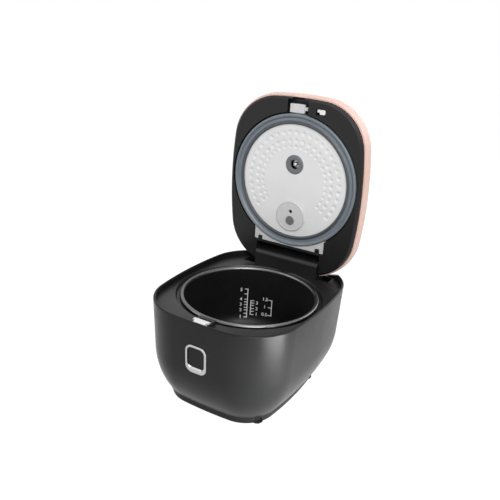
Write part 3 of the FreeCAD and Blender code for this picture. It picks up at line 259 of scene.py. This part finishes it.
def rubber(name, colour, rough, soft=0.0):
    """Rubber or silicone: dusty cloud, fine skin and, where soft, a slight glow in thin lips."""
    s = Surface(name)
    rubber_skin(s, dusty(s, colour), colour, rough)
    if soft:
        s.put("Subsurface Weight", soft)
        s.put("Subsurface Radius", (0.6, 0.8, 1.0))
        s.put("Subsurface Scale", 0.002)
    return s.material


def seal_silicone():
    """Blue-grey seal with a darker inner band of painted shade. The open lid stands upright, so a radius is
    in x and z.
    """
    s = Surface("seal_silicone")
    away = s.node("VectorMath", {0: s.place, 1: SEAL_MIDDLE}, operation="SUBTRACT").outputs[0]
    flat = s.node("VectorMath", {0: away, 1: (1.0, 0.0, 1.0)}, operation="MULTIPLY").outputs[0]
    radius = s.node("VectorMath", {0: flat}, operation="LENGTH").outputs["Value"]
    outer = s.step(radius, SEAL_SHADE_R, SEAL_SHADE_BLEND)
    # Darker inner band: painted shade, standing for the shadow in the groove between the plate and the seal
    shade_band = dusty(s, SILICONE, dark=0.30, pale=0.36)
    rubber_skin(s, s.mix(outer, shade_band, dusty(s, SILICONE)), SILICONE, rough=0.40)
    return s.material


def board(name, mask, track):
    """Printed board: solder mask over a maze of tracks and small pads."""
    s = Surface(name)
    cells = s.node("TexVoronoi", {"Vector": s.place, "Scale": 260.0},
                   distance="MANHATTAN", feature="DISTANCE_TO_EDGE")
    tracks = s.spread(cells.outputs["Distance"], 1.0, 0.0, start=0.02, end=0.06)
    pads = s.node("TexVoronoi", {"Vector": s.place, "Scale": 150.0})
    dots = s.spread(pads.outputs["Distance"], 1.0, 0.0, start=0.12, end=0.18)
    body = s.mix(tracks, tone(mask, 0.9), tone(track))
    s.put("Base Color", s.mix(dots, body, tone(SOLDER)))
    s.put("Metallic", s.math("MULTIPLY", dots, 0.8))
    s.put("Roughness", s.spread(s.noise(scale=300.0), 0.3, 0.45))
    s.put("Normal", s.bump(tracks, depth=0.00004))
    return s.material


def pot_coating():
    """Dark non-stick coat with fine specks, and the bare rolled rim above it."""
    s = Surface("pot_coating")
    rim = s.step(s.height(), POT_RIM_Z, POT_RIM_BLEND)
    specks = s.spread(s.noise(scale=1500.0, detail=1.0), 0.0, 1.0, start=0.62, end=0.72)
    coat = s.mix(specks, (0.006, 0.006, 0.0065, 1.0), (0.035, 0.035, 0.038, 1.0))
    turned = s.noise(scale=700.0, detail=3.0, roughness=0.6, stretch=(0.02, 0.02, 1.0))
    bare = s.mix(turned, (0.12, 0.12, 0.123, 1.0), (0.19, 0.19, 0.193, 1.0))
    s.put("Base Color", s.mix(rim, coat, bare))
    s.put("Metallic", rim)
    s.put("Specular IOR Level", 0.22)
    coat_rough = s.spread(s.noise(scale=40.0, detail=4.0), 0.33, 0.45)
    rim_share = s.spread(rim, 1.0, 0.75, start=0.0, end=1.0)
    s.put("Roughness", s.math("MULTIPLY", coat_rough, rim_share))
    s.put("Normal", s.bump(s.noise(scale=900.0), depth=0.00003))
    return s.material


def cast_plate():
    """Cast aluminium, turned on its upper face in fine rings round the pot's axis."""
    s = Surface("cast_plate")
    centred = s.node("Mapping", {"Vector": s.place, "Location": (0.0, -POT_Y, 0.0)}).outputs[0]
    rings = s.node("TexWave", {"Vector": centred, "Scale": 260.0, "Distortion": 0.4},
                   wave_type="RINGS", rings_direction="Z")
    cast = s.noise(scale=350.0, detail=4.0, roughness=0.65)
    s.put("Base Color", s.mix(cast, (0.42, 0.42, 0.43, 1.0), (0.66, 0.66, 0.67, 1.0)))
    s.put("Metallic", 1.0)
    s.put("Roughness", s.spread(cast, 0.28, 0.45))
    s.put("Normal", s.bump(rings.outputs["Fac"], depth=0.00003))
    return s.material


def zinc_sheet():
    """Zinc-coated sheet with crystal spangle."""
    s = Surface("zinc_sheet")
    spangle = s.node("TexVoronoi", {"Vector": s.place, "Scale": 240.0})
    grey = s.node("RGBToBW", {0: spangle.outputs["Color"]}).outputs[0]
    s.put("Base Color", s.mix(grey, (0.50, 0.51, 0.52, 1.0), (0.60, 0.61, 0.62, 1.0)))
    s.put("Metallic", 1.0)
    s.put("Roughness", s.spread(grey, 0.36, 0.44, start=0.2, end=0.8))
    s.put("Normal", s.bump(s.noise(scale=400.0, detail=3.0), depth=0.00002))
    return s.material


def glass_panel():
    """Black glass with fine wipe marks."""
    s = Surface("glass_panel")
    wipe = s.noise(scale=30.0, detail=5.0, roughness=0.6, stretch=(1.0, 1.0, 6.0))
    s.put("Base Color", s.mix(wipe, (0.006, 0.006, 0.007, 1.0), (0.014, 0.014, 0.016, 1.0)))
    s.put("Roughness", s.spread(wipe, 0.10, 0.20))
    s.put("Specular IOR Level", 0.18)
    return s.material


def printed(name, colour):
    """Printed mark: slightly worn ink."""
    s = Surface(name)
    worn = s.noise(scale=900.0, detail=3.0, roughness=0.6)
    fade = s.spread(worn, 0.0, 1.0, start=0.3, end=0.75)
    s.put("Base Color", s.mix(fade, tone(colour), tone(colour, 0.72)))
    s.put("Roughness", s.spread(worn, 0.4, 0.6))
    return s.material


# The wear setting scales the paler edges, which are partly wear and partly painted highlight
body_paint = moulded("body_paint", CHARCOAL, rough=0.30, grain=1800.0, depth=0.00002,
                     mottle=0.04, wear_and_highlight=0.15, shine=0.13)
black_satin = moulded("black_satin", BLACK, rough=0.40, grain=1500.0, depth=0.00002, shine=0.36)
liner_satin = moulded("liner_satin", BLACK, rough=0.42, grain=1500.0, depth=0.00002,
                      wear_and_highlight=0.5, edge=0.0009, shine=0.26)
black_rough = moulded("black_rough", BLACK, rough=0.6, grain=700.0, depth=0.00008)
lid_paint = moulded("lid_paint", PINK, rough=0.48, grain=500.0, depth=0.000003,
                    mottle=0.02, wear_and_highlight=0.1, shine=0.22)
white_plastic = moulded("white_plastic", WHITE, rough=0.36, grain=900.0, depth=0.00002,
                        mottle=0.02, wear_and_highlight=0.05)
grey_plastic = moulded("grey_plastic", CLIP_GREY, rough=0.36, grain=900.0, depth=0.00002, mottle=0.02)
cream_plastic = moulded("cream_plastic", CREAM, rough=0.5)
part_plastic = moulded("part_plastic", NAVY, rough=0.4)
inner_sheet = moulded("inner_sheet", SHEET_GREY, rough=0.33, grain=1200.0, depth=0.00003,
                      mottle=0.03, wear_and_highlight=0.1)
plated = metal("plated", PLATING, rough=0.36, depth=0.000004, dull=0.08)
steel = metal("steel", STEEL, rough=0.3)
wire = metal("wire", STEEL, rough=0.25, lines=(1.0, 1.0, 0.2))
aluminium = metal("aluminium", ALUMINIUM, rough=0.32)
scaled_steel = metal("scaled_steel", SCALE_BROWN, rough=0.5, dull=0.4)
brass = metal("brass", BRASS, rough=0.28)
dark_silicone = rubber("dark_silicone", DARK_SILICONE, rough=0.45, soft=0.1)
black_rubber = rubber("black_rubber", FOOT_BLACK, rough=0.7)
power_print = board("power_print", BROWN_MASK, BROWN_TRACK)
panel_print = board("panel_print", GREEN_MASK, GREEN_TRACK)

FINISH = {
    body_paint: ["outer_shell", "release_button", "base_tray"],
    black_satin: ["deck_ring", "hinge_housing", "latch_housing"],
    liner_satin: ["lid_liner"],
    black_rough: ["power_inlet"],
    lid_paint: ["lid_cover", "steam_cap"],
    white_plastic: ["latch_hook", "lid_sensor_pin"],
    grey_plastic: ["vent_cap", "inner_lid_clip", "inner_lid_frame"],
    cream_plastic: ["sensor_housing"],
    part_plastic: ["board_parts"],
    inner_sheet: ["inner_lid_plate"],
    plated: ["button_frame"],
    steel: ["base_screws", "lid_screws", "hinge_pin", "plate_posts", "lid_probe", "thermal_fuse"],
    wire: ["sensor_spring", "latch_spring", "hinge_spring", "sensor_pin_spring"],
    aluminium: ["sensor_cap"],
    scaled_steel: ["heater_element"],
    brass: ["inlet_pins"],
    seal_silicone(): ["pot_seal"],
    dark_silicone: ["vent_valve", "centre_grommet"],
    black_rubber: ["rubber_feet"],
    power_print: ["power_board"],
    panel_print: ["control_board"],
    pot_coating(): ["inner_pot"],
    cast_plate(): ["heating_plate"],
    zinc_sheet(): ["inner_liner"],
    glass_panel(): ["control_panel"],
}
for material, names in FINISH.items():
    for name in names:
        for slot in NODES[name].material_slots:
            slot.material = material


# New pieces

def placed(name, data):
    """New object in the scene."""
    made = bpy.data.objects.new(name, data)
    bpy.context.scene.collection.objects.link(made)
    return made


def new_piece(name, mesh, material, body, stand=Matrix()):
    """Piece of the part in one material, which moves with a body."""
    piece = placed(name, mesh)
    piece.matrix_world = stand
    mesh.materials.clear()
    mesh.materials.append(material)
    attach(piece, body)
    return piece


def closed_mesh(name, bm):
    """Mesh of what was drawn, with its faces turned outwards."""
    bmesh.ops.recalc_face_normals(bm, faces=bm.faces)
    mesh = bpy.data.meshes.new(name)
    bm.to_mesh(mesh)
    bm.free()
    return mesh


# Marks inside the pot

SCALE_LINE = 0.0013
FIGURE_SIZE = 0.0084
FIGURE_BOLD = 0.012 * FIGURE_SIZE
BAR_STEPS = 4
BAR_STEP_UP = 0.003

# For each scale: angle of its spine, of its ticks' ends and of its figures, then tick heights and figures
SCALES = [
    (121.1, 124.2, 127.5,
     (0.0610, 0.0675, 0.0740, 0.0790, 0.0845, 0.0895, 0.0945, 0.1045, 0.1140),
     (("1", 0.0615), ("2", 0.0740), ("3", 0.0845), ("4", 0.0945), ("5", 0.1125))),
    (117.6, 114.2, 111.5,
     (0.0660, 0.0720, 0.0775, 0.0835, 0.0880, 0.0925),
     (("1", 0.0670), ("2", 0.0775), ("3", 0.0885))),
    (96.3, 100.1, 103.4,
     (0.0690, 0.0838, 0.0980),
     (("0.5", 0.0690), ("1", 0.0838), ("1.5", 0.0980))),
]


def pot_wall_r(z):
    """Inside radius of the pot at a height."""
    if z >= POT_BEND_Z:
        return POT_R
    drop = min(POT_BEND_Z - z, POT_BEND_R)
    return POT_R - POT_BEND_R + math.sqrt(POT_BEND_R ** 2 - drop ** 2)


def on_pot(degrees, z, lift):
    """Point at an angle and a height, lifted off the pot's wall."""
    radius = pot_wall_r(z) - lift
    angle = math.radians(degrees)
    return Vector((radius * math.cos(angle), POT_Y + radius * math.sin(angle), z))


def bar(bm, first, last, low, high):
    """Closed strip on the pot's wall between two angles and two heights."""
    across = BAR_STEPS
    up = max(1, int((high - low) / BAR_STEP_UP))
    layers = []
    for lift in (INK_LIFT - INK_THICK, INK_LIFT):
        rows = []
        for j in range(up + 1):
            z = low + (high - low) * j / up
            angles = [first + (last - first) * i / across for i in range(across + 1)]
            rows.append([bm.verts.new(on_pot(angle, z, lift)) for angle in angles])
        layers.append(rows)
    back, front = layers
    for j in range(up):
        for i in range(across):
            bm.faces.new((front[j][i], front[j][i + 1], front[j + 1][i + 1], front[j + 1][i]))
            bm.faces.new((back[j][i], back[j + 1][i], back[j + 1][i + 1], back[j][i + 1]))
        for i in (0, across):
            bm.faces.new((back[j][i], front[j][i], front[j + 1][i], back[j + 1][i]))
    for i in range(across):
        for j in (0, up):
            bm.faces.new((back[j][i], back[j][i + 1], front[j][i + 1], front[j][i]))


def digits(bm, text, degrees, z):
    """Figures on the pot's wall, centred on an angle and a height."""
    curve = bpy.data.curves.new("figure", "FONT")
    curve.body = text
    curve.size = FIGURE_SIZE
    curve.align_x = "CENTER"
    curve.align_y = "CENTER"
    curve.offset = FIGURE_BOLD
    curve.extrude = INK_THICK / 2
    holder = placed("figure", curve)
    bpy.context.view_layer.update()
    mesh = bpy.data.meshes.new_from_object(holder.evaluated_get(bpy.context.evaluated_depsgraph_get()))
    for vertex in mesh.vertices:
        x, y, out = vertex.co
        angle = degrees - math.degrees(x / POT_R)
        vertex.co = on_pot(angle, z + y, INK_LIFT - INK_THICK / 2 + out)
    bm.from_mesh(mesh)
    bpy.data.objects.remove(holder)
    bpy.data.meshes.remove(mesh)
    bpy.data.curves.remove(curve)


def pot_scale():
    """Three filling scales: a spine with ticks, and a figure beside each main tick."""
    half = SCALE_LINE / 2
    half_deg = math.degrees(SCALE_LINE / POT_R) / 2
    bm = bmesh.new()
    for spine, tick, figure, heights, figures in SCALES:
        bar(bm, spine - half_deg, spine + half_deg, heights[0] - half, heights[-1] + half)
        for z in heights:
            bar(bm, spine, tick, z - half, z + half)
        for text, z in figures:
            digits(bm, text, figure, z)
    mesh = closed_mesh("pot_scale", bm)
    new_piece("pot_scale", mesh, printed("pot_ink", WHITE_INK), "pot")


pot_scale()


# Springs

def pressed_springs():
    """A copy of each spring that a joint deforms, in the spring's place, riding with the joint's parent
    body.
    """
    for joint in JOINTS.values():
        for entry in joint.get("deforming_nodes", ()):
            name = entry["node"]
            node = NODES[name]
            mesh = node.data.copy()
            coil = new_piece(name + "_coil", mesh, wire, joint["parent"], node.matrix_world)
            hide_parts(name)
            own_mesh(coil)


pressed_springs()


# Marks on the lid's control panel

HINGE = Vector(JOINTS["lid_hinge"]["pos_m"])
LID_OPEN = math.radians(JOINTS["lid_hinge"]["range_deg"][0])
RING_STEPS = 40

# Places of the rings' middles on the shut lid
KEY_XS = (-0.056, -0.036, 0.036, 0.056)
KEY_YS = (-0.104, -0.083)
START_X = 0.0
START_Y = -0.108
DOT_XS = [-0.020 + 0.005 * i for i in range(9)]
DOT_Y = -0.076

# Outer radius and width of each kind of ring
KEY_RING = (0.0062, 0.0006)
KEY_CENTRE = (0.0016, 0.0015)
START_RING = (0.0068, 0.0008)
DOT_RING = (0.0008, 0.0007)


def lid_open(point):
    """A point of the shut lid, moved to the open rest position."""
    turn = Matrix.Rotation(LID_OPEN, 3, "X")
    return HINGE + turn @ (Vector(point) - HINGE)


def ring(bm, x, y, radius, width):
    """Flat raised ring on the control panel."""
    inside = radius - width
    loops = []
    for r, lift in ((radius, 0.0), (radius, INK_THICK), (inside, INK_THICK), (inside, 0.0)):
        loop = []
        for i in range(RING_STEPS):
            angle = 2 * math.pi * i / RING_STEPS
            point = (x + r * math.cos(angle), y + r * math.sin(angle), PANEL_TOP + lift)
            loop.append(bm.verts.new(lid_open(point)))
        loops.append(loop)
    for first, second in zip(loops, loops[1:] + loops[:1]):
        for i in range(RING_STEPS):
            n = (i + 1) % RING_STEPS
            bm.faces.new((first[i], first[n], second[n], second[i]))


def panel_marks():
    """Eight touch rings in two rows, a start ring, and a row of dots that stands for the display."""
    bm = bmesh.new()
    for x in KEY_XS:
        for y in KEY_YS:
            ring(bm, x, y, *KEY_RING)
            ring(bm, x, y, *KEY_CENTRE)
    ring(bm, START_X, START_Y, *START_RING)
    for x in DOT_XS:
        ring(bm, x, DOT_Y, *DOT_RING)
    mesh = closed_mesh("panel_marks", bm)
    new_piece("panel_marks", mesh, printed("panel_ink", GREY_INK), "lid")


panel_marks()


# Floor, light and camera

FLOOR_HALF = 6.0
FLOOR_PAPER = (0.85, 0.85, 0.85, 1.0)
FLOOR_SHADE = (0.22, 0.22, 0.22, 1.0)
FLOOR_GLOW = 0.95
ROOM_LIGHT = 0.24
BACKGROUND = 1.0
PURE_WHITE = (1.0, 1.0, 1.0, 1.0)
PART_MIDDLE = (0.0, 0.0, 0.2)

# Camera fitted to the photograph's view: angles in degrees, lengths in metres, lens in millimetres
CAMERA_AZIMUTH = 29.58
CAMERA_ELEVATION = 21.09
CAMERA_ROLL = 3.49
CAMERA_DISTANCE = 0.89414
CAMERA_TARGET = (-0.0006, -0.0199, 0.2263)
CAMERA_LENS = 43.28
CAMERA_SENSOR = 36.0


def seen_directly(tree):
    """1 for rays from the camera, and for those that metal and glass send on."""
    path = tree.nodes.new("ShaderNodeLightPath")
    total = path.outputs["Is Camera Ray"]
    for name in ("Is Glossy Ray", "Is Transmission Ray"):
        either = tree.nodes.new("ShaderNodeMath")
        either.operation = "MAXIMUM"
        tree.links.new(total, either.inputs[0])
        tree.links.new(path.outputs[name], either.inputs[1])
        total = either.outputs[0]
    return total


def by_ray(tree, light, seen, out):
    """One shader for the rays that carry light to the part, and another for those that see directly."""
    choose = tree.nodes.new("ShaderNodeMixShader")
    tree.links.new(seen_directly(tree), choose.inputs[0])
    tree.links.new(light.outputs[0], choose.inputs[1])
    tree.links.new(seen.outputs[0], choose.inputs[2])
    tree.links.new(choose.outputs[0], out.inputs[0])


def floor():
    """White ground that is plain paper to the light, and is seen as white with a soft shadow."""
    mesh = bpy.data.meshes.new("floor")
    corners = [(x * FLOOR_HALF, y * FLOOR_HALF, 0) for x, y in ((-1, -1), (1, -1), (1, 1), (-1, 1))]
    mesh.from_pydata(corners, [], [(0, 1, 2, 3)])
    plane = placed("floor", mesh)
    material = bpy.data.materials.new("floor")
    material.use_nodes = True
    tree = material.node_tree
    tree.nodes.clear()
    out = tree.nodes.new("ShaderNodeOutputMaterial")
    paper = tree.nodes.new("ShaderNodeBsdfDiffuse")
    paper.inputs["Color"].default_value = FLOOR_PAPER
    shade = tree.nodes.new("ShaderNodeBsdfDiffuse")
    shade.inputs["Color"].default_value = FLOOR_SHADE
    glow = tree.nodes.new("ShaderNodeEmission")
    glow.inputs["Strength"].default_value = FLOOR_GLOW
    both = tree.nodes.new("ShaderNodeAddShader")
    tree.links.new(shade.outputs[0], both.inputs[0])
    tree.links.new(glow.outputs[0], both.inputs[1])
    by_ray(tree, paper, both, out)
    mesh.materials.append(material)


def room():
    """Dim even light all round, seen as a white background."""
    world = bpy.data.worlds.new("room")
    bpy.context.scene.world = world
    world.use_nodes = True
    tree = world.node_tree
    light = tree.nodes["Background"]
    white = tree.nodes.new("ShaderNodeBackground")
    for shader, strength in ((light, ROOM_LIGHT), (white, BACKGROUND)):
        shader.inputs["Color"].default_value = PURE_WHITE
        shader.inputs["Strength"].default_value = strength
    by_ray(tree, light, white, tree.nodes["World Output"])


def softbox(name, place, aim, width, height, watts, spread=180.0, only=None):
    """Rectangular lamp aimed at a point. With only, it lights just the named nodes."""
    lamp = bpy.data.lights.new(name, "AREA")
    lamp.shape = "RECTANGLE"
    lamp.size = width
    lamp.size_y = height
    lamp.energy = watts
    lamp.spread = math.radians(spread)
    holder = placed(name, lamp)
    holder.visible_camera = False
    holder.location = place
    holder.rotation_euler = (Vector(aim) - Vector(place)).to_track_quat("-Z", "Y").to_euler()
    if only:
        lit = bpy.data.collections.new(name + "_lights")
        for node in only:
            lit.objects.link(NODES[node])
        holder.light_linking.receiver_collection = lit


def camera():
    """Camera at the photograph's viewing angle, slightly rolled."""
    azimuth = math.radians(CAMERA_AZIMUTH)
    elevation = math.radians(CAMERA_ELEVATION)
    roll = math.radians(CAMERA_ROLL)
    back = Vector((math.sin(azimuth) * math.cos(elevation),
                   -math.cos(azimuth) * math.cos(elevation),
                   math.sin(elevation)))
    right = Vector((math.cos(azimuth), math.sin(azimuth), 0.0))
    up = back.cross(right)
    across = math.cos(roll) * right + math.sin(roll) * up
    upright = math.cos(roll) * up - math.sin(roll) * right
    data = bpy.data.cameras.new("camera")
    data.sensor_width = CAMERA_SENSOR
    data.lens = CAMERA_LENS
    holder = placed("camera", data)
    stand = Matrix((across, upright, back)).transposed().to_4x4()
    stand.translation = Vector(CAMERA_TARGET) + CAMERA_DISTANCE * back
    holder.matrix_world = stand
    bpy.context.scene.camera = holder


floor()
room()
softbox("key", place=(0.96, -1.15, 1.3), aim=PART_MIDDLE, width=1.0, height=1.0, watts=26.0)
softbox("fill", place=(-1.2, -1.0, 0.9), aim=(0.0, 0.0, 0.15), width=1.0, height=1.0, watts=6.0)
softbox("strip", place=(0.30, -0.15, 0.065), aim=(0.09, -0.135, 0.085), width=0.20, height=0.12,
        watts=0.9, spread=90.0, only=["outer_shell", "base_tray"])
softbox("top", place=(0.1, 0.1, 1.7), aim=PART_MIDDLE, width=1.0, height=1.0, watts=6.0)
softbox("back", place=(0.6, 1.5, 1.0), aim=PART_MIDDLE, width=1.2, height=1.0, watts=8.0)
camera()
bpy.context.scene.view_settings.view_transform = "Standard"
